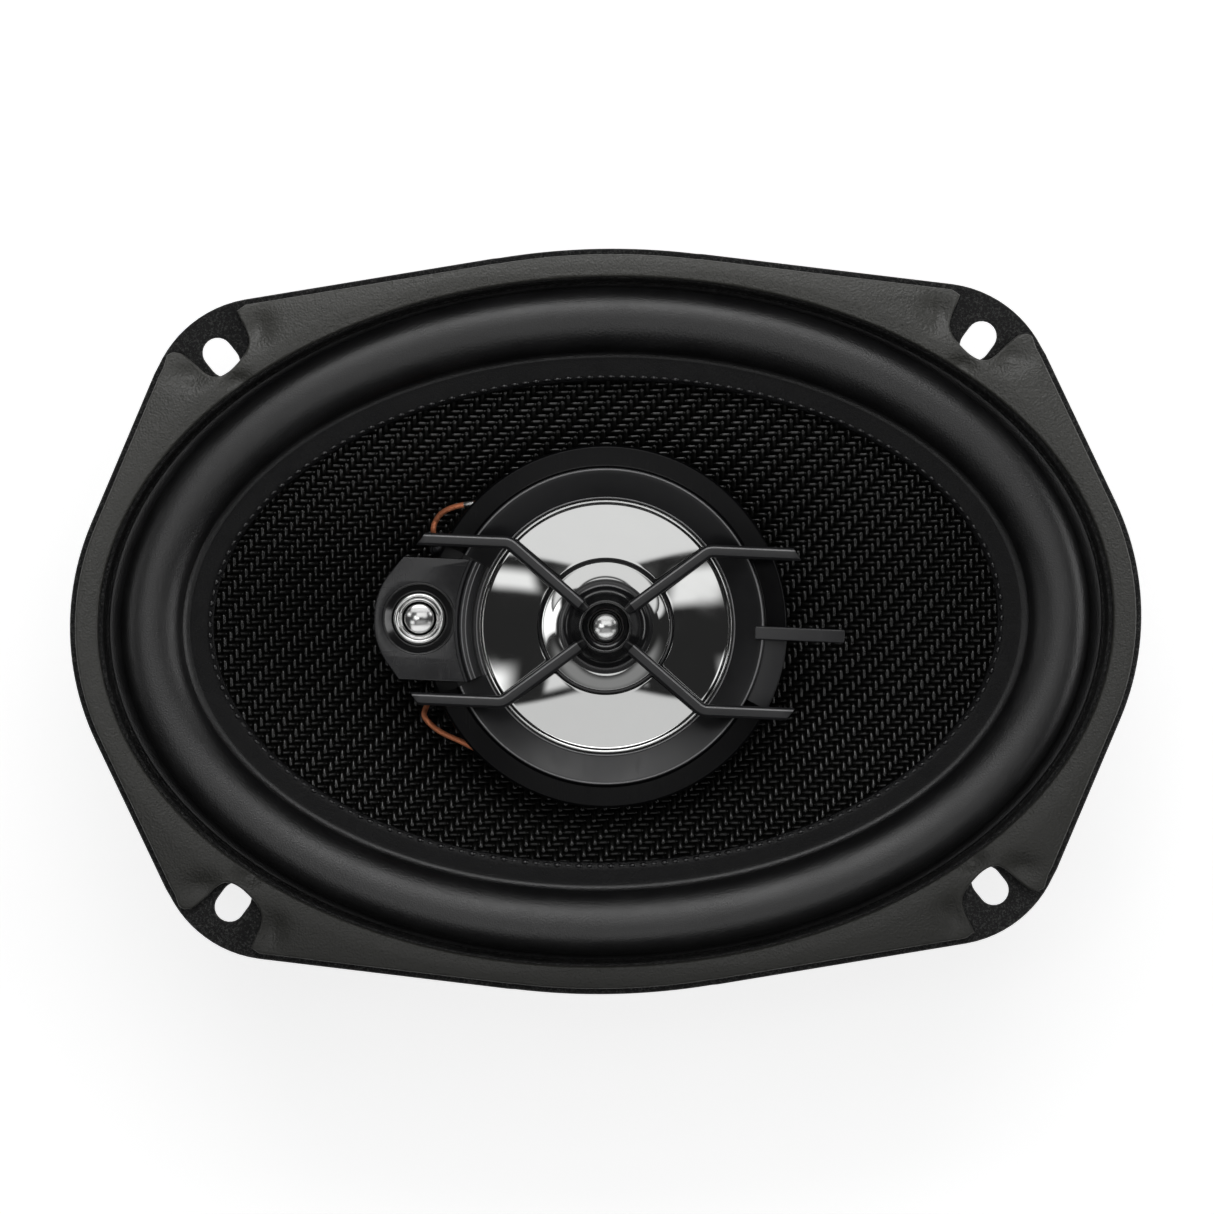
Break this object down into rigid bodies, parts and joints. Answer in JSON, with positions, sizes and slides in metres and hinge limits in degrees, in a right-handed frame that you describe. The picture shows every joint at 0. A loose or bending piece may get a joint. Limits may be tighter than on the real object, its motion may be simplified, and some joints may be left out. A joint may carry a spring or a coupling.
{
  "type": "coaxial car speaker",
  "caption": "Oval coaxial car speaker: stamped basket, woven cone with rubber surround, magnet motor, and a centre module with midrange, tweeter and super tweeter.",
  "frame": {"origin": "centre of the magnet plate back, on which the speaker stands", "axes": "+Z the way the speaker faces, +X along the long side, +Y along the short side"},
  "size_m": [0.2372, 0.165, 0.0914],
  "materials": {
    "black_plastic": "moulded ABS, satin black",
    "black_steel": "black powder coat, satin",
    "capacitor_sleeve": "dark blue shrink sleeve",
    "chrome": "vacuum-metallised chrome, mirror",
    "copper": null,
    "felt": "black felt",
    "ferrite": "sintered ferrite, matt dark grey",
    "fibre_board": "phenolic paper board",
    "former": "brown polyimide and paper",
    "gasket": "dark grey grained gasket sheet, matt",
    "gloss_plastic": "moulded, gloss black",
    "magnet_metal": "nickel-plated magnet",
    "rubber": "butyl rubber, satin",
    "spider_cloth": "resin-treated corrugated cotton",
    "tinned_brass": "brass blades, tin plated",
    "woven_cone": "black 2/2 twill, resin coated",
    "zinc_steel": "bright zinc plate"
  },
  "bodies": {
    "frame": {"basket": "black_steel", "bridge_guard": "black_plastic", "frame_rivet_1": "zinc_steel", "frame_rivet_2": "zinc_steel", "frame_rivet_3": "zinc_steel", "frame_rivet_4": "zinc_steel", "gasket": "gasket", "horn_ring": "chrome", "magnet_ring": "ferrite", "midrange_basket": "black_steel", "midrange_capacitor": "capacitor_sleeve", "midrange_magnet": "magnet_metal", "midrange_pole_cap": "zinc_steel", "midrange_yoke": "zinc_steel", "module_post": "black_plastic", "module_tray": "black_plastic", "pole_yoke": "zinc_steel", "post_screw": "zinc_steel", "super_tweeter_cover": "black_plastic", "super_tweeter_pod": "black_plastic", "terminal_board": "fibre_board", "terminal_board_rivet_1": "zinc_steel", "terminal_board_rivet_2": "zinc_steel", "terminal_negative": "tinned_brass", "terminal_positive": "tinned_brass", "terminal_rivet_negative": "zinc_steel", "terminal_rivet_positive": "zinc_steel", "top_plate": "zinc_steel", "tweeter_capacitor": "capacitor_sleeve", "tweeter_cup": "zinc_steel", "tweeter_housing": "gloss_plastic", "tweeter_magnet": "magnet_metal"},
    "woofer": {"woofer_cone": "woven_cone", "surround": "rubber", "spider": "spider_cloth", "voice_coil_former": "former", "voice_coil": "copper", "dust_ring": "felt", "cone_eyelet_upper": "zinc_steel", "cone_eyelet_lower": "zinc_steel", "rear_lead_upper": "copper", "rear_lead_lower": "copper", "front_lead_upper": "copper", "front_lead_lower": "copper"},
    "midrange": {"midrange_cone": "chrome", "midrange_surround": "rubber", "midrange_former": "former", "midrange_coil": "copper"},
    "tweeter": {"tweeter_dome": "chrome", "tweeter_coil": "copper"},
    "super_tweeter": {"super_tweeter_dome": "chrome"}
  },
  "joints": [
    {"name": "woofer_travel", "type": "slide", "parent": "frame", "child": "woofer", "axis": [0, 0, 1], "range_m": [-0.005, 0.005], "stiffness_N_per_m": 1500, "deforming": ["surround", "spider", "rear_lead_upper", "rear_lead_lower", "front_lead_upper", "front_lead_lower"]},
    {"name": "midrange_travel", "type": "slide", "parent": "frame", "child": "midrange", "axis": [0, 0, 1], "range_m": [-0.0006, 0.0006], "stiffness_N_per_m": 1500, "deforming": ["midrange_surround"]},
    {"name": "tweeter_travel", "type": "slide", "parent": "frame", "child": "tweeter", "axis": [0, 0, 1], "range_m": [-0.0002, 0.0002], "stiffness_N_per_m": 1500},
    {"name": "super_tweeter_travel", "type": "slide", "parent": "frame", "child": "super_tweeter", "axis": [0, 0, 1], "range_m": [-0.0001, 0.0001], "stiffness_N_per_m": 2000}
  ]
}
